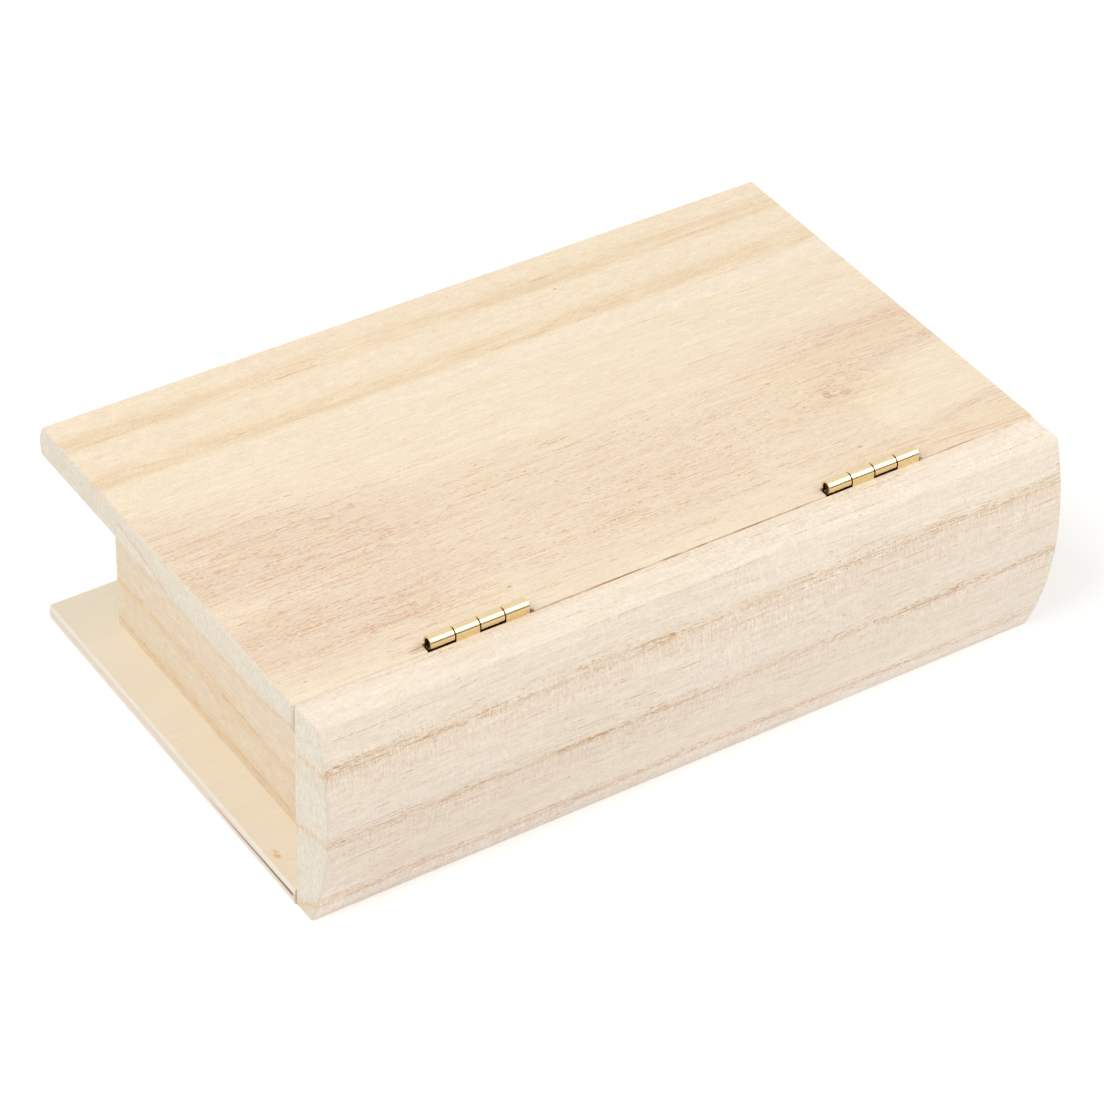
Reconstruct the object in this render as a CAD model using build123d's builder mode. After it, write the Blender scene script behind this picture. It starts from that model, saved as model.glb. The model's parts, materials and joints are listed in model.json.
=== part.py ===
from build123d import *
import os
from math import radians, tan

# Wooden book box: a flat keepsake box in the form of a closed book that lies on its back cover.
# The spine is a solid block, the pages are three walls on a plywood back cover, and the front cover
# is a lid of two glued boards that swings on two rolled brass hinges in the seam beside the spine.
# Millimetres. X runs along the spine, Y from the spine to the fore-edge, Z up from the table.
# The origin is on the table, under the middle of the box.

# Covers
box_length = 190.0
box_height = 55.0
cover_depth = 110.0
lid_thickness = 8.0
lid_joint_depth = 74.5
bottom_thickness = 4.0
fore_edge_bulge_height = 3.0
fore_edge_top_set_back = 1.4
fore_edge_bottom_set_back = 0.5
fore_edge_round = 0.9

# Spine
spine_end_set_back = 0.3
spine_depth = 13.2
spine_radius = 72.0
spine_belly_height = 31.0
spine_top_round = 1.2

# Page block
wall_thickness = 8.0
end_overhang = 10.5
fore_edge_overhang = 13.5

# Hinges
hinge_length = 24.0
hinge_spacing = 101.0
hinge_offset = 0.5
barrel_diameter = 3.1
sheet_thickness = 0.45
leaf_width = 8.7
knuckle_count = 4
roll_angle = 295.0
axis_rise = 1.2
pin_recess = 1.0
pin_slide = 0.6
pin_end_chamfer = 0.2
leaf_corner = 0.6

# Screws
screw_spacing = 15.0
screw_drop = 5.2
screw_length = 8.0
screw_tip = 2.0
screw_shank_diameter = 1.8
screw_head_diameter = 2.6
screw_head_angle = 90.0
screw_slot_width = 0.4
screw_slot_depth = 0.25
screw_slot_turn = 35.0

# Clearances and softened edges
lid_seam = 0.3
lid_rest_gap = 0.15
pin_clearance = 0.05
knuckle_gap = 0.35
knuckle_relief = 0.3
notch_clearance = 0.6
screw_clearance = 0.05
wood_arris = 0.4
ply_arris = 0.25

# Places that follow from the sizes
seam_y = (spine_depth - cover_depth) / 2
spine_length = box_length - 2 * spine_end_set_back
lid_bottom = box_height - lid_thickness
wall_height = lid_bottom - lid_rest_gap - bottom_thickness
page_depth = cover_depth - fore_edge_overhang
end_wall_x = box_length / 2 - end_overhang - wall_thickness / 2
barrel_radius = barrel_diameter / 2
bore_radius = barrel_radius - sheet_thickness
pin_radius = bore_radius - pin_clearance
axis_y = seam_y + barrel_radius
axis_z = box_height + axis_rise
knuckle_pitch = (hinge_length + knuckle_gap) / knuckle_count
knuckle_length = knuckle_pitch - knuckle_gap
screw_z = axis_z - screw_drop
screw_head_height = (screw_head_diameter - screw_shank_diameter) / 2 / tan(radians(screw_head_angle / 2))

end_plane = Plane.YZ.offset(-box_length / 2)
spine_end_plane = Plane.YZ.offset(-spine_length / 2)
seam_plane = Plane.XZ.offset(-seam_y)
wall_plane = Plane.XY.offset(bottom_thickness)

hinge_x = {"left": hinge_offset - hinge_spacing / 2, "right": hinge_offset + hinge_spacing / 2}
screw_x = [x + side * screw_spacing / 2 for x in hinge_x.values() for side in (-1, 1)]
lid_side = 1
spine_side = -1


def save(piece, name):
    piece.part.label = name
    export_step(piece.part, f"parts/{name}.step")


def end_edges(piece):
    """The edges round both ends of a board that runs along X."""
    ends = piece.faces().group_by(Axis.X)
    return ends[0].edges() + ends[-1].edges()


def off_glue_line(edges):
    """The edges of a lid board that don't lie in its glued joint."""
    return edges.filter_by(lambda edge: abs(edge.center().Y - seam_y - lid_joint_depth) > wood_arris)


os.makedirs("parts", exist_ok=True)

# Spine: a block with a flat inner face, its outer face part of a large cylinder
with BuildPart() as spine:
    with BuildSketch(spine_end_plane) as spine_profile:
        with Locations((seam_y, 0)):
            Rectangle(spine_depth, box_height, align=(Align.MAX, Align.MIN))
        with Locations((seam_y - spine_depth + spine_radius, spine_belly_height)):
            Circle(spine_radius, mode=Mode.INTERSECT)
        top_corner = spine_profile.vertices().group_by(Axis.Y)[-1].sort_by(Axis.X)[0]
        fillet(top_corner, spine_top_round)
    extrude(amount=spine_length)
    chamfer(end_edges(spine), wood_arris)
    with BuildSketch(seam_plane):
        with Locations(*[(x, screw_z) for x in screw_x]):
            Circle(screw_shank_diameter / 2 + screw_clearance)
    extrude(amount=screw_length, mode=Mode.SUBTRACT)
save(spine, "spine")

# Lid board: notched at its back edge for the folded hinges
with BuildPart() as lid_board:
    with BuildSketch(end_plane) as lid_profile:
        with Locations((seam_y + lid_seam, lid_bottom)):
            Rectangle(lid_joint_depth - lid_seam, lid_thickness, align=(Align.MIN, Align.MIN))
        fillet(lid_profile.vertices().group_by(Axis.X)[0], wood_arris)
    extrude(amount=box_length)
    chamfer(off_glue_line(end_edges(lid_board)), wood_arris)
    with BuildSketch(seam_plane):
        with Locations(*[(x, lid_bottom) for x in hinge_x.values()]):
            Rectangle(hinge_length + 2 * notch_clearance, lid_thickness, align=(Align.CENTER, Align.MIN))
    extrude(amount=-barrel_diameter, mode=Mode.SUBTRACT)
    with BuildSketch(seam_plane):
        with Locations(*[(x, screw_z) for x in screw_x]):
            Circle(screw_shank_diameter / 2 + screw_clearance)
    extrude(amount=-barrel_diameter - screw_length, mode=Mode.SUBTRACT)
save(lid_board, "lid_board")

# Fore-edge strip of the lid: a bowed front edge with both corners eased
with BuildPart() as lid_fore_edge_strip:
    joint_y = seam_y + lid_joint_depth
    fore_edge_y = seam_y + cover_depth
    with BuildSketch(end_plane) as strip_profile:
        with BuildLine():
            top_front = (fore_edge_y - fore_edge_top_set_back, box_height)
            bottom_front = (fore_edge_y - fore_edge_bottom_set_back, lid_bottom)
            Polyline(top_front, (joint_y, box_height), (joint_y, lid_bottom), bottom_front)
            ThreePointArc(bottom_front, (fore_edge_y, lid_bottom + fore_edge_bulge_height), top_front)
        make_face()
        front_corners = strip_profile.vertices().group_by(Axis.X)[1:]
        fillet([corner for group in front_corners for corner in group], fore_edge_round)
    extrude(amount=box_length)
    chamfer(off_glue_line(end_edges(lid_fore_edge_strip)), wood_arris)
save(lid_fore_edge_strip, "lid_fore_edge_strip")

# Back cover: a plywood sheet that butts against the spine
with BuildPart() as bottom_board:
    with BuildSketch(Plane.XY):
        with Locations((0, seam_y)):
            Rectangle(box_length, cover_depth, align=(Align.CENTER, Align.MIN))
    extrude(amount=bottom_thickness)
    outer_edges = bottom_board.edges().filter_by(lambda edge: edge.center().Y > seam_y + ply_arris)
    chamfer(outer_edges, ply_arris)
save(bottom_board, "bottom_board")

# End walls of the page block: from the spine to the fore-edge
for name, side in (("left", -1), ("right", 1)):
    with BuildPart() as end_wall:
        with BuildSketch(wall_plane):
            with Locations((side * end_wall_x, seam_y)):
                Rectangle(wall_thickness, page_depth, align=(Align.CENTER, Align.MIN))
        extrude(amount=wall_height)
        corners = end_wall.edges().filter_by(Axis.Z).group_by(Axis.Y)[-1]
        chamfer(corners.sort_by(Axis.X)[0 if side < 0 else -1], wood_arris)
    save(end_wall, f"{name}_end_wall")

# Fore-edge wall: between the end walls
with BuildPart() as fore_edge_wall:
    with BuildSketch(wall_plane):
        with Locations((0, seam_y + page_depth)):
            Rectangle(2 * end_wall_x - wall_thickness, wall_thickness, align=(Align.CENTER, Align.MAX))
    extrude(amount=wall_height)
save(fore_edge_wall, "fore_edge_wall")


def hinge_leaf(centre_x, side, knuckles):
    """A pressed leaf that hangs in the seam, with some of its top edge rolled round the pin."""

    def profile_plane(x):
        return Plane((x, axis_y, axis_z), x_dir=(0, side, 0), z_dir=(side, 0, 0))

    plate_top = -barrel_radius - knuckle_relief
    with BuildPart() as leaf:
        with BuildSketch(profile_plane(centre_x)):
            with Locations((bore_radius, plate_top)):
                Rectangle(sheet_thickness, leaf_width + plate_top, align=(Align.MIN, Align.MAX))
        extrude(amount=hinge_length / 2, both=True)
        free_corners = leaf.edges().filter_by(Axis.Y).group_by(Axis.Z)[0]
        fillet(free_corners, leaf_corner)
        for index in knuckles:
            knuckle_x = centre_x - hinge_length / 2 + knuckle_length / 2 + index * knuckle_pitch
            with BuildSketch(profile_plane(knuckle_x)):
                with BuildLine():
                    Line((barrel_radius, plate_top), (barrel_radius, 0))
                    outside = CenterArc((0, 0), barrel_radius, 0, roll_angle)
                    inside = CenterArc((0, 0), bore_radius, 0, roll_angle)
                    Line(outside @ 1, inside @ 1)
                    Polyline((bore_radius, 0), (bore_radius, plate_top), (barrel_radius, plate_top))
                make_face()
            extrude(amount=knuckle_length / 2, both=True)
        face_y = axis_y + side * bore_radius
        hole_x = [centre_x - screw_spacing / 2, centre_x + screw_spacing / 2]
        with Locations(*[Plane((x, face_y, screw_z), z_dir=(0, -side, 0)) for x in hole_x]):
            CounterSinkHole(
                radius=screw_shank_diameter / 2 + screw_clearance,
                counter_sink_radius=screw_head_diameter / 2 + screw_clearance,
                counter_sink_angle=screw_head_angle,
            )
    return leaf


# Hinges: the knuckles of the two leaves alternate along the pin, the lid's leaf first.
# Each pin has slid a little in its barrel, towards the other hinge.
for name, centre_x in hinge_x.items():
    save(hinge_leaf(centre_x, lid_side, range(0, knuckle_count, 2)), f"{name}_hinge_lid_leaf")
    save(hinge_leaf(centre_x, spine_side, range(1, knuckle_count, 2)), f"{name}_hinge_spine_leaf")
    pin_x = centre_x + (pin_slide if centre_x < hinge_offset else -pin_slide)
    with BuildPart() as pin:
        with BuildSketch(Plane((pin_x, axis_y, axis_z), x_dir=(0, 1, 0), z_dir=(1, 0, 0))):
            Circle(pin_radius)
        extrude(amount=hinge_length / 2 - pin_recess, both=True)
        chamfer(pin.edges().filter_by(GeomType.CIRCLE), pin_end_chamfer)
    save(pin, f"{name}_hinge_pin")


def hinge_screws(side):
    """The countersunk wood screws of one side's leaves, their slots turned as they were driven."""
    head_y = axis_y + side * bore_radius
    head_radius = screw_head_diameter / 2
    shank_radius = screw_shank_diameter / 2
    with BuildPart() as screws:
        for index, x in enumerate(screw_x):
            with BuildSketch(Plane((x, head_y, screw_z), x_dir=(1, 0, 0), z_dir=(0, 0, side))):
                with BuildLine():
                    Polyline(
                        (0, 0),
                        (head_radius, 0),
                        (shank_radius, screw_head_height),
                        (shank_radius, screw_length - screw_tip),
                        (0, screw_length),
                        close=True,
                    )
                make_face()
            revolve(axis=Axis((x, head_y, screw_z), (0, 1, 0)))
            with Locations((x, head_y, screw_z)):
                Box(
                    screw_head_diameter,
                    2 * screw_slot_depth,
                    screw_slot_width,
                    rotation=(0, index * screw_slot_turn, 0),
                    mode=Mode.SUBTRACT,
                )
    return screws


save(hinge_screws(lid_side), "lid_hinge_screws")
save(hinge_screws(spine_side), "spine_hinge_screws")
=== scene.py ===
import json
import math
from dataclasses import dataclass
from typing import Any, Callable, NamedTuple

import bpy
from mathutils import Matrix, Vector


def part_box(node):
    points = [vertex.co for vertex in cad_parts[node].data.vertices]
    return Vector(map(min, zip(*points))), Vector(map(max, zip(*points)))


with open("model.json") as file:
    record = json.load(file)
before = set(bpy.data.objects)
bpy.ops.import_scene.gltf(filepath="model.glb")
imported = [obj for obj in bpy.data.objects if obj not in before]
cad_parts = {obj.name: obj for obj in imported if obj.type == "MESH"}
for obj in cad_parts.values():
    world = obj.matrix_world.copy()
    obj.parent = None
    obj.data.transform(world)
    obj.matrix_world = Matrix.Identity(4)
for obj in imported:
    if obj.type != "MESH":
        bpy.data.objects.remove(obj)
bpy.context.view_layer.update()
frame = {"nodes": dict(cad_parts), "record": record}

# Looks of the wooden book box: raw pale boards, a plywood back cover and polished brass hinges.
# Places and sizes of marks are millimetres in the part's own frame, and colours are linear.
nodes = frame["nodes"]
mm = 0.001

# The seam between the lid and the spine, from which the marks in the boards are placed
seam_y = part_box("bottom_board")[0].y / mm
left_end_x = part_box("bottom_board")[0].x / mm
lid_top_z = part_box("lid_board")[1].z / mm

# The right ends of the two hinges along the seam
hinge_sides = ("left", "right")
hinge_ends = [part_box(f"{side}_hinge_spine_leaf")[1].x / mm for side in hinge_sides]

# How a stain in wood takes its colour: most from blue, least from red
honey_tint = (0.74, 1.0, 1.32)


class Layer(NamedTuple):
    """One layer of soft noise: the size of its grains, how far it reaches either way, and its detail."""

    size: tuple
    reach: float
    detail: float = 1.0


class Finish:
    """A material in the making, with one short method for each kind of node that it uses."""

    def __init__(self, name):
        self.material = bpy.data.materials.new(name)
        self.material.use_nodes = True
        self.tree = self.material.node_tree
        self.tree.nodes.clear()
        output = self.tree.nodes.new("ShaderNodeOutputMaterial")
        self.shader = self.tree.nodes.new("ShaderNodeBsdfPrincipled")
        self.tree.links.new(self.shader.outputs["BSDF"], output.inputs["Surface"])
        coordinates = self.tree.nodes.new("ShaderNodeTexCoord")
        self.normal = coordinates.outputs["Normal"]
        self.place = self.scaled(coordinates.outputs["Object"], (1 / mm, 1 / mm, 1 / mm))

    def feed(self, socket, value):
        """Links an output to a socket, or sets a constant on it."""
        if isinstance(value, bpy.types.NodeSocket):
            self.tree.links.new(value, socket)
        else:
            socket.default_value = value

    def set(self, **values):
        """Sets the shader's sockets, named in lower case with underscores."""
        sockets = {socket.name.lower().replace(" ", "_"): socket for socket in self.shader.inputs}
        for name, value in values.items():
            self.feed(sockets[name], value)

    def math(self, operation, *values):
        node = self.tree.nodes.new("ShaderNodeMath")
        node.operation = operation
        for socket, value in zip(node.inputs, values):
            self.feed(socket, value)
        return node.outputs[0]

    def product(self, first, *others):
        for other in others:
            first = self.math("MULTIPLY", first, other)
        return first

    def total(self, first, *others):
        for other in others:
            first = self.math("ADD", first, other)
        return first

    def off(self, value, centre):
        """The distance of a value from a centre, either way."""
        return self.math("ABSOLUTE", self.math("SUBTRACT", value, centre))

    def vector(self, operation, *values):
        node = self.tree.nodes.new("ShaderNodeVectorMath")
        node.operation = operation
        for socket, value in zip(node.inputs, values):
            self.feed(socket, value)
        return node.outputs[0]

    def scaled(self, vector, factors):
        return self.vector("MULTIPLY", vector, factors)

    def shifted(self, vector, offset):
        return self.vector("ADD", vector, offset)

    def split(self, vector):
        node = self.tree.nodes.new("ShaderNodeSeparateXYZ")
        self.feed(node.inputs[0], vector)
        return list(node.outputs)

    def joined(self, x, y, z):
        node = self.tree.nodes.new("ShaderNodeCombineXYZ")
        for socket, value in zip(node.inputs, (x, y, z)):
            self.feed(socket, value)
        return node.outputs[0]

    def ramp(self, value, start, end):
        """A smooth step from 0 at start to 1 at end, either of which may be the larger."""
        node = self.tree.nodes.new("ShaderNodeMapRange")
        node.interpolation_type = "SMOOTHSTEP"
        low, high = min(start, end), max(start, end)
        self.feed(node.inputs["Value"], value)
        node.inputs["From Min"].default_value = low
        node.inputs["From Max"].default_value = high
        node.inputs["To Min"].default_value = 0.0 if start < end else 1.0
        node.inputs["To Max"].default_value = 1.0 if start < end else 0.0
        return node.outputs["Result"]

    def noise(self, place, size, detail=2.0, roughness=0.5):
        """Soft noise from 0 to 1 whose grains measure about size, in millimetres."""
        node = self.tree.nodes.new("ShaderNodeTexNoise")
        self.feed(node.inputs["Vector"], self.scaled(place, [1 / length for length in size]))
        node.inputs["Scale"].default_value = 1.0
        node.inputs["Detail"].default_value = detail
        node.inputs["Roughness"].default_value = roughness
        return node.outputs[0]

    def patches(self, place, size, start, end, detail=2.0):
        """Noise with more contrast: 0 where it is below start, and 1 where it is above end."""
        return self.ramp(self.noise(place, size, detail), start, end)

    def sway(self, place, layer, gain=1.0):
        """A layer of noise centred on zero, with its reach times a gain."""
        centred = self.math("SUBTRACT", self.noise(place, layer.size, layer.detail), 0.5)
        return self.math("MULTIPLY", centred, 2.0 * layer.reach * gain)

    def sways(self, place, layers, gain=1.0):
        return [self.sway(place, layer, gain) for layer in layers]

    def strokes(self, place, length, width, share):
        """Thin tapered strokes along the grain: few at a share of 0, about a quarter of the face at 1."""
        share_gain, faint, full = 0.16, 0.67, 0.75
        soft = self.noise(place, (length, width, width), 1.0)
        return self.ramp(self.total(soft, self.product(share, share_gain)), faint, full)

    def dots(self, place, size, share):
        """Small separate dots: one in each cell of that size, present in the given share of the cells."""
        rim, core = 0.22, 0.08
        node = self.tree.nodes.new("ShaderNodeTexVoronoi")
        self.feed(node.inputs["Vector"], self.scaled(place, [1 / length for length in size]))
        node.inputs["Scale"].default_value = 1.0
        lot = self.split(node.outputs["Color"])[0]
        present = self.math("LESS_THAN", lot, share)
        return self.product(present, self.ramp(node.outputs["Distance"], rim, core))

    def mixed(self, factor, first, second):
        """A colour between two others."""
        node = self.tree.nodes.new("ShaderNodeMix")
        node.data_type = "RGBA"
        sockets = {socket.identifier: socket for socket in node.inputs}
        self.feed(sockets["Factor_Float"], factor)
        for name, value in (("A_Color", first), ("B_Color", second)):
            self.feed(sockets[name], value if isinstance(value, bpy.types.NodeSocket) else (*value, 1.0))
        return next(socket for socket in node.outputs if socket.identifier == "Result_Color")

    def stained(self, colour, stain, tint=honey_tint):
        """A colour made paler, or deeper in the tint's own colour, by a small number about zero."""
        factors = self.vector("MULTIPLY_ADD", self.joined(stain, stain, stain), tint, (1.0, 1.0, 1.0))
        return self.scaled(colour, factors)

    def spot(self, centre, radii, soft):
        """A round or oval mark on a face: 1 inside, fading to 0 over the soft share of its radius."""
        offset = self.shifted(self.place, [-value for value in centre])
        node = self.tree.nodes.new("ShaderNodeVectorMath")
        node.operation = "LENGTH"
        self.feed(node.inputs[0], self.scaled(offset, [1 / radius for radius in radii]))
        return self.ramp(node.outputs["Value"], 1.0 + soft, 1.0 - soft)

    def bumped(self, height, depth, strength):
        """Relief: depth is the height's full range in millimetres."""
        node = self.tree.nodes.new("ShaderNodeBump")
        node.inputs["Strength"].default_value = strength
        node.inputs["Distance"].default_value = depth * mm
        self.feed(node.inputs["Height"], height)
        self.set(normal=node.outputs["Normal"])

    def sanded(self, fibre, relief, fibre_gain, strength):
        """The surface of sanded wood: matt, a little rougher on raised fibres, in low relief."""
        least_roughness, gloss, relief_depth = 0.5, 0.35, 0.03
        roughness = self.total(least_roughness, self.product(fibre, fibre_gain))
        self.set(roughness=roughness, specular_ior_level=gloss)
        self.bumped(relief, relief_depth, strength)


@dataclass
class Timber:
    """How one board lay in the tree, in millimetres, and its colours.

    The pith is a point across the grain and up. Each ring starts at a line, with porous early wood outside
    it, and ends in late wood that darkens towards the next line. The functions at the end give a board
    what is its own: how its rings swell and its fibres lean, how full its porous zone and its lines are,
    and the marks along the grain and on the sawn ends.
    """

    name: str
    seed: float
    pith: tuple
    ring: float
    first_ring: float
    cream: tuple
    early: tuple
    late: tuple
    line: tuple
    pore: tuple
    end: tuple
    grain_axis: str = "X"
    wander: float = 0.6
    early_start: float = 0.0
    early_depth: float = 3.0
    late_depth: float = 5.0
    late_rise: float = 5.0
    late_fall: float = 0.1
    line_width: float = 0.5
    line_strength: float = 0.5
    line_halo: float = 0.14
    line_reach: float = 4.0
    line_pores: float = 0.0
    pores: float = 0.4
    late_pores: float = 0.0
    stray_pores: float = -0.15
    mottle: float = 1.0
    blotch: float = 0.04
    speckle: float = 0.10
    end_lines: float = 1.0
    chatter: float = 0.0
    swell: Callable = None
    lean: Callable = None
    weight: Callable = None
    line_weight: Callable = None
    marks: Callable = None
    end_marks: Callable = None


@dataclass
class Grain:
    """The growth of one board: two places that its figure follows, and shares from 0 to 1."""

    board: Any
    flow: Any
    early: Any
    porous: Any
    late: Any
    line: Any
    by_line: Any
    line_weight: Any
    patch: Any


# Noise in wood, with the size of its grains along the board, across it and up
ring_waves = (
    Layer(size=(95.0, 24.0, 24.0), reach=1.0),
    Layer(size=(16.0, 5.0, 5.0), reach=0.25),
)
fibre_waves = (
    Layer(size=(90.0, 36.0, 36.0), reach=3.2),
    Layer(size=(26.0, 9.0, 9.0), reach=0.7),
)
line_waver = Layer(size=(7.0, 1.2, 1.2), reach=1.6)
broad_stain = Layer(size=(45.0, 14.0, 14.0), reach=0.05, detail=2.0)
fibre_stains = (
    Layer(size=(70.0, 2.4, 2.4), reach=0.06, detail=2.0),
    Layer(size=(9.0, 0.6, 0.6), reach=0.14, detail=3.0),
    Layer(size=(2.4, 0.36, 0.36), reach=0.11, detail=2.0),
)
blotches = Layer(size=(2.6, 1.6, 1.6), reach=1.0)
speckles = Layer(size=(0.6, 0.6, 0.6), reach=1.0)
saw_hatching = (
    Layer(size=(0.34, 1.2, 1.2), reach=0.75),
    Layer(size=(0.32, 5.0, 5.0), reach=0.45),
)
end_specks = (
    Layer(size=(0.5, 0.5, 0.5), reach=0.13),
    Layer(size=(1.0, 1.0, 1.6), reach=0.16, detail=2.0),
    Layer(size=(4.0, 3.0, 3.0), reach=0.07, detail=2.0),
)

# How far a step of the seed moves a board through the noise
seed_step = (97.0, 31.0, 53.0)

# The shares of the early wood's depth and of a line's width at which each is full
early_core = 0.45
line_core = 0.2


def ring_depth(finish, timber, across, z, board):
    """How far a point lies outside its ring's line, with rings about the pith that run in slow waves."""
    radius = finish.math("SQRT", finish.total(*[
        finish.math("POWER", finish.math("SUBTRACT", value, centre), 2.0)
        for value, centre in zip((across, z), timber.pith)
    ]))
    radius = finish.total(radius, *finish.sways(board, ring_waves, timber.wander))
    if timber.swell:
        radius = finish.total(radius, timber.swell(finish))
    rings = finish.math("DIVIDE", finish.math("SUBTRACT", radius, timber.first_ring), timber.ring)
    return finish.product(finish.math("FRACT", rings), timber.ring)


def fibre_flow(finish, timber, board):
    """A point's place along the fibres, which sway on a course of their own and bend round knots."""
    bend = finish.total(*finish.sways(board, fibre_waves))
    if timber.lean:
        bend = finish.total(bend, timber.lean(finish))
    return finish.shifted(board, finish.joined(0.0, bend, bend))


def grown(finish, timber, along, across, z):
    """The growth within each ring of a board: early wood, late wood and the line between two rings."""
    offset = [timber.seed * step for step in seed_step]
    board = finish.shifted(finish.joined(along, across, z), offset)
    depth = ring_depth(finish, timber, across, z, board)
    flow = fibre_flow(finish, timber, board)

    early = finish.ramp(depth, timber.early_depth, early_core * timber.early_depth)
    if timber.early_start:
        early = finish.product(early, finish.ramp(depth, 0.0, timber.early_start))
    porous = early
    if timber.weight:
        weight = timber.weight(finish)
        early = finish.product(early, weight)
        porous = finish.product(porous, finish.math("SQRT", weight))

    line_weight = timber.line_weight(finish) if timber.line_weight else 1.0
    late_start = timber.ring - timber.late_depth
    late = finish.product(
        finish.ramp(depth, late_start, late_start + timber.late_rise),
        finish.ramp(depth, timber.ring, timber.ring - timber.late_fall),
        line_weight,
    )
    to_line = finish.math("MINIMUM", depth, finish.math("SUBTRACT", timber.ring, depth))
    by_line = finish.ramp(to_line, timber.line_reach * timber.line_width, 0.0)
    to_line = finish.total(to_line, finish.sway(flow, line_waver, timber.line_width))
    line = finish.ramp(to_line, timber.line_width, line_core * timber.line_width)
    patch = finish.noise(board, size=(42.0, 13.0, 13.0))
    return Grain(board, flow, early, porous, late, line, by_line, line_weight, patch)


def long_grain(finish, timber, grain):
    """The colour along the grain, before its pores: early and late wood, lines and stain."""
    least_stipple, least_hatching = 0.4, 0.35
    in_patches = finish.ramp(grain.patch, 0.15, 0.55)
    in_streaks = finish.patches(grain.flow, size=(16.0, 2.0, 2.0), start=0.2, end=0.6, detail=3.0)
    broken = finish.patches(grain.flow, size=(5.0, 0.9, 0.9), start=0.42, end=0.58)
    stipple = finish.patches(grain.flow, size=(1.0, 0.45, 0.45), start=0.42, end=0.62)

    colour = finish.mixed(finish.product(grain.early, in_patches), timber.cream, timber.early)
    colour = finish.mixed(finish.product(grain.late, in_streaks), colour, timber.late)
    halo = finish.product(grain.by_line, finish.total(least_stipple, stipple), timber.line_halo)
    line_share = finish.total(halo, finish.product(grain.line, broken))
    line_share = finish.product(line_share, grain.line_weight, timber.line_strength)
    colour = finish.mixed(line_share, colour, timber.line)

    # Stain along the fibres, from broad to fine, the faint speckle of sanding and the saw's hatching
    stain = finish.total(
        finish.sway(grain.board, broad_stain, timber.mottle),
        *finish.sways(grain.flow, fibre_stains, timber.mottle),
        finish.sway(grain.board, blotches, timber.blotch),
        finish.sway(grain.board, speckles, timber.speckle),
    )
    if timber.chatter:
        hatching = finish.total(*finish.sways(grain.board, saw_hatching, timber.chatter))
        rough_patches = finish.ramp(grain.patch, 0.4, 0.7)
        where = finish.total(least_hatching, grain.late, grain.by_line, rough_patches)
        stain = finish.total(stain, finish.product(hatching, where))
    return finish.stained(colour, stain)


def open_pores(finish, timber, grain):
    """Pores, thick in the early wood and scattered elsewhere: rows of beads, short strokes and dots."""
    short_loss, dot_share = 0.3, 0.08
    share = finish.total(
        timber.stray_pores,
        finish.product(grain.porous, finish.ramp(grain.patch, 0.0, 0.55), timber.pores),
        finish.product(grain.by_line, timber.line_pores),
        finish.product(grain.late, timber.late_pores),
    )
    beads = finish.patches(grain.flow, size=(0.9, 0.32, 0.32), start=0.38, end=0.52, detail=1.0)
    rows = finish.product(finish.strokes(grain.flow, length=60.0, width=0.25, share=share), beads)
    short_share = finish.math("SUBTRACT", share, short_loss)
    short_pores = finish.strokes(grain.flow, length=1.8, width=0.23, share=short_share)
    in_bands = finish.patches(grain.board, size=(14.0, 1.6, 1.6), start=0.0, end=0.68, detail=1.0)
    pores = finish.product(finish.math("MAXIMUM", rows, short_pores), in_bands)
    dots = finish.dots(grain.flow, size=(4.0, 1.6, 1.6), share=finish.product(grain.early, dot_share))
    return finish.math("MAXIMUM", pores, dots)


def sawn_end(finish, timber, grain):
    """The colour of a sawn end: paler and greyer, with pores as specks and rings as faint lines."""
    late_stain, halo_share, line_share = -0.03, 0.42, 0.22
    freckled = finish.patches(grain.board, size=(1.2, 0.9, 0.9), start=0.32, end=0.62)
    lines = finish.total(
        finish.product(grain.by_line, freckled, halo_share),
        finish.product(grain.line, line_share),
    )
    colour = finish.mixed(finish.product(lines, timber.end_lines), timber.end, timber.line)
    stain = finish.total(*finish.sways(grain.board, end_specks), finish.product(grain.late, late_stain))
    colour = finish.stained(colour, stain)
    if timber.end_marks:
        colour = timber.end_marks(finish, colour)
    return colour


def wood(timber):
    """Sawn and sanded ring-porous wood: rings, fibres and pores along the grain, and pale ends."""
    finish = Finish(timber.name)
    x, y, z = finish.split(finish.place)
    normal_x, normal_y, _ = finish.split(finish.normal)
    along, across, end_normal = (x, y, normal_x) if timber.grain_axis == "X" else (y, x, normal_y)
    grain = grown(finish, timber, along, across, z)
    pores = open_pores(finish, timber, grain)
    colour = finish.mixed(pores, long_grain(finish, timber, grain), timber.pore)
    if timber.marks:
        colour = timber.marks(finish, colour)
    at_end = finish.ramp(finish.math("ABSOLUTE", end_normal), 0.55, 0.75)
    finish.set(base_color=finish.mixed(at_end, colour, sawn_end(finish, timber, grain)))

    fibre = finish.noise(grain.flow, size=(20.0, 0.6, 0.6), detail=3.0, roughness=0.6)
    finish.sanded(fibre, finish.math("SUBTRACT", fibre, pores), fibre_gain=0.16, strength=0.2)
    return finish


# Lid board: at the right end the saw met the next ring, in a pale tongue between the seam and two knots
lid_pith = (seam_y + 24.4, 244.7)
tongue_y = seam_y + 17.5
knot_centres = ((59.9, seam_y + 29.7), (64.3, seam_y + 28.7))
knot_radii = ((0.9, 1.2, 4.0), (1.6, 0.9, 4.0))
grey_brown = (0.52, 0.32, 0.18)
rust = (0.70, 0.38, 0.17)
# Brown of the torn fibres, partly painted shade of their hollow, and painted shade along the seam's back
# edge
torn_and_seam_shade_brown = (0.46, 0.22, 0.09)
# Near-black painted shade for the open ends of the hinge slots
slot_shade_colour = (0.22, 0.06, 0.025)
# Painted light that pales the seam's back edge near both ends
seam_painted_light = (0.97, 0.87, 0.72)


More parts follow.
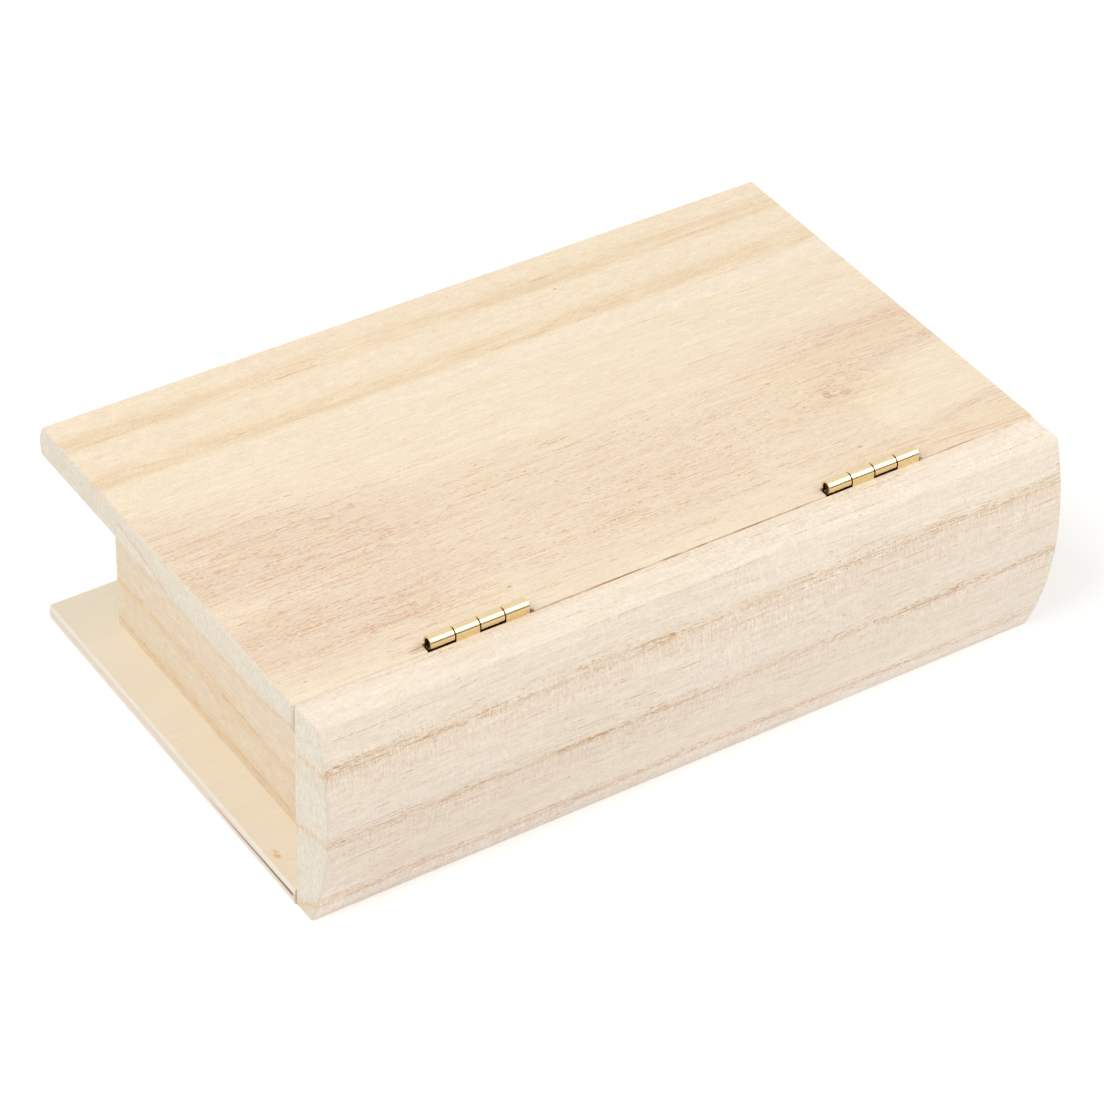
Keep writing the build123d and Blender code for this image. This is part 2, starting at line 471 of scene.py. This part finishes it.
def lid_swell(finish):
    """How the rings drift away from the seam to the left, close in the middle and dip at the right end.

    Below the top, the rings also climb towards the glue line.
    """
    slant, climb_rate = -0.12, 0.8
    middle_x, middle_rise = -5.0, 0.7
    tongue_shift, tongue_dip = 5.5, -3.1
    x, y, z = finish.split(finish.place)
    drift = finish.product(finish.math("MINIMUM", x, 0.0), slant)
    lever = finish.math("SUBTRACT", lid_pith[0], y)
    drifted = finish.product(drift, lever, 1 / (lid_pith[1] - lid_top_z))
    closed = finish.product(finish.ramp(finish.off(x, middle_x), 60.0, 25.0), middle_rise)
    tongue = finish.total(tongue_y, finish.product(finish.ramp(x, 58.0, 90.0), tongue_shift))
    in_tongue = finish.ramp(finish.off(y, tongue), 15.0, 5.0)
    dip = finish.product(finish.ramp(x, 51.0, 77.0), in_tongue, tongue_dip)
    below = finish.math("SUBTRACT", lid_top_z, z)
    climb = finish.product(below, finish.ramp(y, seam_y + 46.0, seam_y + 77.0), climb_rate)
    return finish.total(drifted, closed, dip, climb)


def lid_lean(finish):
    """How the fibres part round the knots."""
    parting = -0.6
    _, y, _ = finish.split(finish.place)
    knot_x, knot_y = [sum(values) / len(values) for values in zip(*knot_centres)]
    near = finish.spot((knot_x, knot_y, lid_top_z), radii=(11.0, 7.0, 7.0), soft=0.95)
    return finish.product(near, finish.math("SUBTRACT", y, knot_y), parting)


def lid_weight(finish):
    """How full the porous zone is: most at both ends, less between them, and least by the seam."""
    middle_share, right_gain, gap_gain, pale_share = 0.60, 0.28, -0.2, 0.8
    x, y, _ = finish.split(finish.place)
    right = finish.product(finish.ramp(x, 52.0, 80.0), right_gain)
    gap = finish.product(finish.ramp(finish.off(x, 46.0), 22.0, 6.0), gap_gain)
    share = finish.math("MAXIMUM", finish.ramp(x, 20.0, -62.0), finish.total(middle_share, right, gap))
    middle = finish.product(
        finish.ramp(y, seam_y + 8.0, seam_y + 2.0),
        finish.ramp(finish.off(x, -12.0), 48.0, 22.0),
    )
    corner = finish.product(finish.ramp(y, seam_y + 12.0, seam_y + 7.0), finish.ramp(x, 58.0, 70.0))
    pale = finish.product(finish.math("MAXIMUM", middle, corner), pale_share)
    return finish.product(share, finish.math("SUBTRACT", 1.0, pale))


def with_knots(finish, colour):
    """Two small knots with ragged rims and paler hearts."""
    heart_size, heart_share, strength = 0.4, 0.6, 0.62
    ragged = finish.patches(finish.place, size=(0.8, 0.8, 0.8), start=0.2, end=0.6)
    for centre, radii in zip(knot_centres, knot_radii):
        knot = finish.spot((*centre, lid_top_z), radii, soft=0.35)
        heart = finish.spot((*centre, lid_top_z), [heart_size * radius for radius in radii], soft=0.5)
        rim = finish.math("SUBTRACT", knot, finish.product(heart, heart_share))
        colour = finish.mixed(finish.product(rim, ragged, strength), colour, grey_brown)
    return colour


def with_rusty_streaks(finish, colour):
    """Rusty streaks towards the right end: beyond the knots, round them and by the seam."""
    seam_gain, slant, least_tint, streak_tint = 1.8, 0.06, 0.06, 0.32
    x, y, _ = finish.split(finish.place)
    beyond = finish.product(
        finish.ramp(x, 22.0, 66.0),
        finish.ramp(finish.off(y, seam_y + 44.0), 10.5, 4.0),
    )
    around = finish.spot((63.0, seam_y + 28.0, lid_top_z), radii=(14.0, 6.0, 20.0), soft=0.8)
    beside = finish.spot((78.0, seam_y + 1.5, lid_top_z), radii=(28.0, 5.5, 20.0), soft=0.7)
    nearer = finish.math("MAXIMUM", around, finish.product(beside, seam_gain))
    rusty = finish.math("MAXIMUM", beyond, nearer)
    slanted = finish.shifted(finish.place, finish.joined(0.0, finish.product(x, slant), 0.0))
    streaks = finish.strokes(slanted, length=26.0, width=0.45, share=0.5)
    tint = finish.total(least_tint, finish.product(streaks, streak_tint))
    return finish.mixed(finish.product(rusty, tint), colour, rust)


def with_torn_fibres_and_slot_shade(finish, colour):
    """Fibres torn out beside the left hinge, their brown partly painted shade of the torn hollow, and
    painted shade in the open ends of the hinge slots past the hinges.
    """
    torn_strength, slot_shade_strength, slot_shade_x, slot_shade_y = 0.8, 0.9, 0.5, 0.4
    torn = finish.spot((-64.3, seam_y + 2.2, lid_top_z), radii=(1.8, 0.9, 3.0), soft=0.7)
    splinter = finish.patches(finish.place, size=(2.5, 0.4, 0.4), start=0.35, end=0.6, detail=1.0)
    # Painted shade, in part: the torn fibres darken to brown as their hollow would
    colour = finish.mixed(finish.product(torn, splinter, torn_strength), colour, torn_and_seam_shade_brown)
    for hinge_end in hinge_ends:
        centre = (hinge_end + slot_shade_x, seam_y + slot_shade_y, lid_top_z)
        # Painted shade: a near-black spot where each hinge slot runs open past its hinge
        slot_end_shade = finish.spot(centre, radii=(0.9, 0.7, 3.0), soft=0.4)
        colour = finish.mixed(finish.product(slot_end_shade, slot_shade_strength), colour, slot_shade_colour)
    return colour


def with_seam_painted_light_and_shade(finish, colour):
    """The back edge in the seam: pale near both ends as painted light, and darkened between them as painted
    shade of the seam's gap.
    """
    least_seam_shade, seam_shade_gain = 0.08, 0.84
    x, y, z = finish.split(finish.place)
    at_back = finish.ramp(y, seam_y + 0.58, seam_y + 0.40)
    seam_lit_ends = finish.math("MAXIMUM", finish.ramp(x, -52.0, -62.0), finish.ramp(x, 60.0, 66.0))
    # Painted light: the back face is paled near both ends, so that the seam's gap shows little shade there
    colour = finish.mixed(finish.product(at_back, seam_lit_ends), colour, seam_painted_light)
    # Painted shade: a brown band below the top of the back face, fullest between the hinges and rusty at
    # the right, so that the seam's gap reads as a dark line
    seam_shade = finish.product(
        at_back,
        finish.ramp(z, lid_top_z - 3.0, lid_top_z - 0.6),
        finish.patches(finish.place, size=(9.0, 3.0, 3.0), start=0.36, end=0.58, detail=3.0),
        finish.total(least_seam_shade, finish.product(finish.ramp(x, -46.0, -12.0), seam_shade_gain)),
    )
    return finish.mixed(seam_shade, colour, finish.mixed(finish.ramp(x, 50.0, 66.0), torn_and_seam_shade_brown, rust))


def lid_marks(finish, colour):
    """The knots, the rusty streaks, torn fibres and painted shade at the hinge slots, and painted light and
    shade on the back edge in the seam.
    """
    for with_mark in (with_knots, with_rusty_streaks, with_torn_fibres_and_slot_shade, with_seam_painted_light_and_shade):
        colour = with_mark(finish, colour)
    return colour


lid_board_wood = wood(Timber(
    name="lid_board_wood",
    seed=1.0,
    pith=lid_pith,
    ring=10.2,
    first_ring=188.3,
    cream=(0.902, 0.755, 0.558),
    early=(0.829, 0.670, 0.507),
    late=(0.920, 0.772, 0.576),
    line=(0.64, 0.39, 0.20),
    pore=(0.685, 0.392, 0.205),
    end=(0.768, 0.688, 0.562),
    wander=0.45,
    early_start=1.3,
    early_depth=4.6,
    line_width=0.3,
    line_strength=0.2,
    pores=0.78,
    stray_pores=-0.08,
    mottle=0.85,
    swell=lid_swell,
    lean=lid_lean,
    weight=lid_weight,
    marks=lid_marks,
))


# Strip along the lid's fore-edge: rings that run steeply through it, so that late wood shows in bands
def strip_marks(finish, colour):
    """The paler, pinker wood beside the glue line, clearest at the right."""
    pink_tint = (0.010, 0.032, 0.082)
    x, y, _ = finish.split(finish.place)
    band = finish.product(
        finish.ramp(y, seam_y + 73.5, seam_y + 75.5),
        finish.ramp(y, seam_y + 81.5, seam_y + 80.0),
    )
    return finish.stained(colour, finish.product(band, finish.ramp(x, -140.0, 60.0)), pink_tint)


lid_strip_wood = wood(Timber(
    name="lid_strip_wood",
    seed=2.0,
    pith=(seam_y + 176.0, 102.0),
    ring=13.1,
    first_ring=92.9,
    cream=(0.910, 0.760, 0.562),
    early=(0.910, 0.764, 0.570),
    late=(0.848, 0.670, 0.453),
    line=(0.78, 0.52, 0.27),
    pore=(0.74, 0.43, 0.21),
    end=(0.760, 0.682, 0.562),
    wander=0.5,
    late_depth=7.4,
    late_rise=4.0,
    late_fall=1.4,
    line_width=0.3,
    line_strength=0.1,
    pores=0.0,
    late_pores=0.5,
    stray_pores=-0.2,
    mottle=0.58,
    blotch=0.07,
    end_lines=0.4,
    marks=strip_marks,
))


# Spine: rings about a pith below its foot, which cross its face as lines along the box
def spine_line_weight(finish):
    """The line half way up is fainter than the others, and so is the late wood below it."""
    faint_z, faint_share = 25.8, 0.6
    _, _, z = finish.split(finish.place)
    away = finish.ramp(finish.off(z, faint_z), 3.0, 9.0)
    return finish.total(faint_share, finish.product(away, 1.0 - faint_share))


def spine_marks(finish, colour):
    """Painted light that makes the foot paler, paler wood towards the right, deeper wood low down, and
    honey along the seam.
    """
    x, y, z = finish.split(finish.place)
    rightward = finish.math("SUBTRACT", finish.ramp(x, -110.0, 110.0), 0.5)
    foot = finish.ramp(z, 13.0, 3.0)
    lower_half = finish.ramp(z, 44.0, 30.0)
    low_right = finish.product(rightward, finish.ramp(z, 38.0, 28.0))
    top_right = finish.product(finish.ramp(x, 20.0, 88.0), finish.ramp(z, 36.0, 46.0))
    by_seam = finish.ramp(y, seam_y - 3.0, seam_y - 0.6)
    tints = (
        # Painted light: the foot, which faces a little down, is made paler
        (foot, (0.090, 0.150, 0.225)),
        (lower_half, (-0.018, -0.023, -0.008)),
        (low_right, (0.06, 0.08, 0.09)),
        (top_right, (0.036, 0.044, 0.050)),
        (by_seam, (-0.032, -0.055, -0.088)),
    )
    for where, tint in tints:
        colour = finish.stained(colour, where, tint)
    return colour


def spine_end_joint_shade(finish, colour):
    """Painted shade: a thin brown line down the inner edge, below the lid's top, where the joint with the
    wall is in shadow.
    """
    brown, strength = (0.62, 0.35, 0.16), 0.5
    _, y, z = finish.split(finish.place)
    edge = finish.product(finish.ramp(y, seam_y - 0.55, seam_y - 0.2), finish.ramp(z, 54.0, 51.0))
    return finish.mixed(finish.product(edge, strength), colour, brown)


spine_wood = wood(Timber(
    name="spine_wood",
    seed=3.0,
    pith=(seam_y - 16.0, -13.0),
    ring=18.7,
    first_ring=20.4,
    cream=(0.922, 0.800, 0.655),
    early=(0.905, 0.770, 0.615),
    late=(0.886, 0.742, 0.596),
    line=(0.72, 0.445, 0.180),
    pore=(0.60, 0.34, 0.16),
    end=(0.776, 0.703, 0.581),
    wander=0.7,
    early_depth=3.4,
    late_depth=9.0,
    late_rise=7.0,
    line_width=0.40,
    line_strength=0.33,
    line_halo=0.30,
    line_reach=5.0,
    line_pores=0.4,
    pores=0.65,
    stray_pores=0.05,
    mottle=0.95,
    chatter=0.19,
    line_weight=spine_line_weight,
    marks=spine_marks,
    end_marks=spine_end_joint_shade,
))


# Walls of the page block: rings that show as level lines along each wall
def wall_swell(finish):
    """A wider ring above the two narrow ones at the foot."""
    widening = -5.5
    _, _, z = finish.split(finish.place)
    return finish.product(finish.ramp(z, 18.0, 31.0), widening)


wall_timber = dict(
    pith=(-30.0, -120.0),
    ring=10.2,
    first_ring=137.7,
    cream=(0.806, 0.678, 0.518),
    early=(0.812, 0.676, 0.506),
    late=(0.796, 0.630, 0.442),
    line=(0.68, 0.42, 0.20),
    pore=(0.68, 0.44, 0.24),
    end=(0.80, 0.71, 0.57),
    line_width=0.7,
    line_strength=0.36,
    line_halo=0.33,
    line_pores=0.25,
    pores=0.2,
    mottle=0.55,
    blotch=0.10,
    swell=wall_swell,
)
end_wall_wood = wood(Timber(name="end_wall_wood", seed=4.0, grain_axis="Y", **wall_timber))
fore_edge_wall_wood = wood(Timber(name="fore_edge_wall_wood", seed=5.0, **wall_timber))


# Back cover: plywood of three veneers, with its noise sized along X, along Y and up
veneer_stains = (
    Layer(size=(80.0, 6.0, 6.0), reach=0.035, detail=2.0),
    Layer(size=(22.0, 0.9, 0.9), reach=0.045, detail=3.0),
    Layer(size=(0.5, 0.5, 0.5), reach=0.04),
)
ply_edge_stains = (
    Layer(size=(9.0, 9.0, 0.3), reach=0.08, detail=3.0),
    Layer(size=(0.6, 0.6, 0.3), reach=0.06, detail=2.0),
)
glue_wave = Layer(size=(12.0, 12.0, 12.0), reach=0.12)


def ply_face(finish):
    """A pale even face with a few thin darker lines, and a fleck of gum on the left ledge."""
    veneer, darker, gum_brown = (0.848, 0.766, 0.622), (0.74, 0.56, 0.36), (0.66, 0.36, 0.11)
    line_strength, gum_strength, ledge_z = 0.4, 0.7, 4.0
    face = finish.stained(veneer, finish.total(*finish.sways(finish.place, veneer_stains)))
    lines = finish.strokes(finish.place, length=24.0, width=0.9, share=-0.4)
    face = finish.mixed(finish.product(lines, line_strength), face, darker)
    gum = finish.spot((left_end_x + 2.4, seam_y + 11.7, ledge_z), radii=(0.8, 1.3, 2.0), soft=0.6)
    ragged = finish.patches(finish.place, size=(1.2, 1.2, 1.2), start=0.35, end=0.55)
    return finish.mixed(finish.product(gum, ragged, gum_strength), face, gum_brown)


def ply_edge(finish):
    """A darker core between the face veneers, with a split at the left end that opens towards the spine."""
    veneer, core_brown, split_shade_brown = (0.836, 0.790, 0.696), (0.808, 0.684, 0.560), (0.20, 0.09, 0.035)
    x, y, z = finish.split(finish.place)
    ragged_z = finish.total(z, finish.sway(finish.place, glue_wave))
    core = finish.product(finish.ramp(ragged_z, 0.85, 1.1), finish.ramp(ragged_z, 2.95, 2.7))
    edge = finish.mixed(core, veneer, core_brown)
    edge = finish.stained(edge, finish.total(*finish.sways(finish.place, ply_edge_stains)))

    # The split: a wedge in the core that rises as it widens, and stops just short of the spine, painted
    # dark brown as the shade inside the open split
    split_start, split_length, split_opening = seam_y + 39.0, 39.0, 0.85
    split_z, split_rise, split_strength = 1.55, 0.7, 0.92
    opened = finish.math("DIVIDE", finish.math("SUBTRACT", split_start, y), split_length)
    from_middle = finish.off(ragged_z, finish.total(split_z, finish.product(opened, split_rise)))
    inside = finish.math("SUBTRACT", finish.product(opened, 0.5 * split_opening), from_middle)
    split = finish.product(
        finish.ramp(inside, -0.12, 0.08),
        finish.ramp(x, left_end_x + 2.0, left_end_x + 1.0),
        finish.ramp(opened, 0.0, 0.1),
        finish.ramp(y, seam_y + 0.3, seam_y + 0.9),
    )
    return finish.mixed(finish.product(split, split_strength), edge, split_shade_brown)


def plywood(name):
    """Three veneers: pale faces with the grain along X, and layers that show at the edges."""
    finish = Finish(name)
    _, _, normal_z = finish.split(finish.normal)
    at_face = finish.ramp(finish.math("ABSOLUTE", normal_z), 0.6, 0.9)
    finish.set(base_color=finish.mixed(at_face, ply_edge(finish), ply_face(finish)))
    fibre = finish.noise(finish.place, size=(30.0, 0.7, 0.7), detail=3.0, roughness=0.6)
    finish.sanded(fibre, fibre, fibre_gain=0.15, strength=0.3)
    return finish


def brass(name, colour, roughness):
    """Rolled sheet brass: faint rolling lines and a little tarnish in the tone."""
    dark_share, tarnish_gain, line_gain = 0.86, 0.06, 0.03
    finish = Finish(name)
    tarnish = finish.noise(finish.place, size=(3.0, 2.0, 2.0), detail=3.0)
    lines = finish.noise(finish.place, size=(5.0, 0.3, 0.3))
    dark = [dark_share * value for value in colour]
    finish.set(base_color=finish.mixed(tarnish, dark, colour), metallic=1.0)
    finish.set(roughness=finish.total(
        roughness,
        finish.product(tarnish, tarnish_gain),
        finish.product(lines, line_gain),
    ))
    finish.bumped(lines, depth=0.01, strength=0.05)
    return finish


back_cover_ply = plywood("back_cover_ply")
polished_brass = brass("polished_brass", (0.90, 0.73, 0.43), 0.17)
satin_brass = brass("satin_brass", (0.84, 0.66, 0.38), 0.24)
# Painted shade: the pins are nearly black, as the shade inside each hinge barrel
dull_brass = brass("dull_brass", (0.12, 0.06, 0.028), 0.40)

# Each node takes the finish of its slot, apart from the wall along X and the pins, which are painted nearly
# black as shade inside the hinge barrels
finish_of_slot = {
    "lid_wood": lid_board_wood,
    "lid_strip_wood": lid_strip_wood,
    "spine_wood": spine_wood,
    "wall_wood": end_wall_wood,
    "plywood": back_cover_ply,
    "brass": polished_brass,
    "brass_screw": satin_brass,
}
for subpart in frame["record"]["subparts"]:
    material = finish_of_slot[subpart["material_slot"]].material
    nodes[subpart["node"]].material_slots[0].material = material
nodes["fore_edge_wall"].material_slots[0].material = fore_edge_wall_wood.material
for side in hinge_sides:
    nodes[f"{side}_hinge_pin"].material_slots[0].material = dull_brass.material


# The studio, in metres
white = (1.0, 1.0, 1.0, 1.0)


def seen_or_mirrored(tree):
    """1 for the camera, a reflection or a view through something, and 0 for other light."""
    path = tree.nodes.new("ShaderNodeLightPath")
    seen = path.outputs["Is Camera Ray"]
    for name in ("Is Glossy Ray", "Is Transmission Ray"):
        either = tree.nodes.new("ShaderNodeMath")
        either.operation = "MAXIMUM"
        tree.links.new(seen, either.inputs[0])
        tree.links.new(path.outputs[name], either.inputs[1])
        seen = either.outputs[0]
    return seen


def add_sheet(name, width, height, material_name, colour):
    """A flat matt sheet about the origin. Returns it with its shader's inputs and node tree."""
    right, top = width / 2, height / 2
    mesh = bpy.data.meshes.new(name)
    corners = [(-right, -top, 0), (right, -top, 0), (right, top, 0), (-right, top, 0)]
    mesh.from_pydata(corners, [], [(0, 1, 2, 3)])
    material = bpy.data.materials.new(material_name)
    material.use_nodes = True
    tree = material.node_tree
    inputs = tree.nodes["Principled BSDF"].inputs
    inputs["Base Color"].default_value = (*colour, 1.0)
    inputs["Roughness"].default_value = 1.0
    mesh.materials.append(material)
    sheet = bpy.data.objects.new(name, mesh)
    bpy.context.scene.collection.objects.link(sheet)
    return sheet, inputs, tree


def add_floor(side, albedo, lift):
    """A wide white sheet under the box, lifted a little for the camera and in reflections.

    With that lift it is as white as the world, and only the box's shadow shows on it.
    """
    floor, inputs, tree = add_sheet("floor", side, side, "floor_white", (albedo, albedo, albedo))
    inputs["Specular IOR Level"].default_value = 0.0
    inputs["Emission Color"].default_value = white
    strength = tree.nodes.new("ShaderNodeMath")
    strength.operation = "MULTIPLY"
    strength.inputs[1].default_value = lift
    tree.links.new(seen_or_mirrored(tree), strength.inputs[0])
    tree.links.new(strength.outputs[0], inputs["Emission Strength"])


def add_world(fill):
    """White for the camera, in reflections and through things, and a softer fill light elsewhere."""
    world = bpy.data.worlds.new("studio")
    world.use_nodes = True
    tree = world.node_tree
    background = tree.nodes["Background"]
    background.inputs["Color"].default_value = white
    strength = tree.nodes.new("ShaderNodeMapRange")
    strength.inputs["To Min"].default_value = fill
    strength.inputs["To Max"].default_value = 1.0
    tree.links.new(seen_or_mirrored(tree), strength.inputs["Value"])
    tree.links.new(strength.outputs["Result"], background.inputs["Strength"])
    bpy.context.scene.world = world


def facing(place, aim, along):
    """The pose of a sheet that faces a point, with one side as near as it can be to a direction."""
    back = (Vector(place) - Vector(aim)).normalized()
    side = Vector(along).cross(back).normalized()
    axes = Matrix((side, back.cross(side), back)).transposed().to_4x4()
    return Matrix.Translation(place) @ axes


def add_softbox(name, place, aim, along, size, power):
    """A lamp of that width and length, turned towards a point and out of the camera's sight."""
    lamp = bpy.data.lights.new(name, "AREA")
    lamp.shape = "RECTANGLE"
    lamp.size, lamp.size_y = size
    lamp.energy = power
    softbox = bpy.data.objects.new(name, lamp)
    softbox.matrix_world = facing(place, aim, along)
    softbox.visible_camera = False
    bpy.context.scene.collection.objects.link(softbox)


def add_dark_card(place, aim, size, colour):
    """A dark card that only polished metal shows, as a thin line under the bright one."""
    card, _, _ = add_sheet("dark_card", *size, "card_black", colour)
    card.matrix_world = facing(place, aim, (0, 0, 1))
    card.visible_camera = False
    card.visible_diffuse = False
    card.visible_shadow = False


def add_camera(aim, distance, azimuth, elevation, roll, lens, sensor_width):
    """The photograph's view: azimuth 0 looks along +Y, and a positive roll lifts its right side."""
    turn, climb = math.radians(azimuth), math.radians(elevation)
    back = Vector((math.sin(turn) * math.cos(climb), -math.cos(turn) * math.cos(climb), math.sin(climb)))
    level = Vector((0, 0, 1)).cross(back).normalized()
    right = Matrix.Rotation(math.radians(roll), 3, back) @ level
    up = back.cross(right)
    camera = bpy.data.objects.new("camera", bpy.data.cameras.new("camera"))
    camera.data.lens = lens
    camera.data.sensor_width = sensor_width
    axes = Matrix((right, up, back)).transposed().to_4x4()
    camera.matrix_world = Matrix.Translation(Vector(aim) + distance * back) @ axes
    bpy.context.scene.collection.objects.link(camera)
    bpy.context.scene.camera = camera


box_middle = (0.0, 0.0, 0.03)
add_floor(side=6.0, albedo=0.95, lift=0.22)
add_world(fill=0.5)
add_softbox(
    "key_light",
    place=(-1.03, -0.09, 1.22),
    aim=box_middle,
    along=(0, 1, 0),
    size=(1.2, 1.2),
    power=11.4,
)
add_softbox(
    "strip_light",
    place=(0.70, -0.77, 1.06),
    aim=box_middle,
    along=(0, 0.81, 0.59),
    size=(0.6, 1.17),
    power=6.1,
)
add_softbox(
    "back_light",
    place=(-0.30, 1.15, 0.40),
    aim=box_middle,
    along=(0, 0, 1),
    size=(1.0, 0.5),
    power=2.5,
)
add_dark_card(place=(0.68, -1.39, 0.40), aim=box_middle, size=(0.9, 0.92), colour=(0.34, 0.26, 0.15))
add_camera(
    aim=(0.0037, 0.0053, 0.0171),
    distance=0.950,
    azimuth=-34.31,
    elevation=38.70,
    roll=2.07,
    lens=137.17,
    sensor_width=36.0,
)
bpy.context.scene.view_settings.view_transform = "Standard"
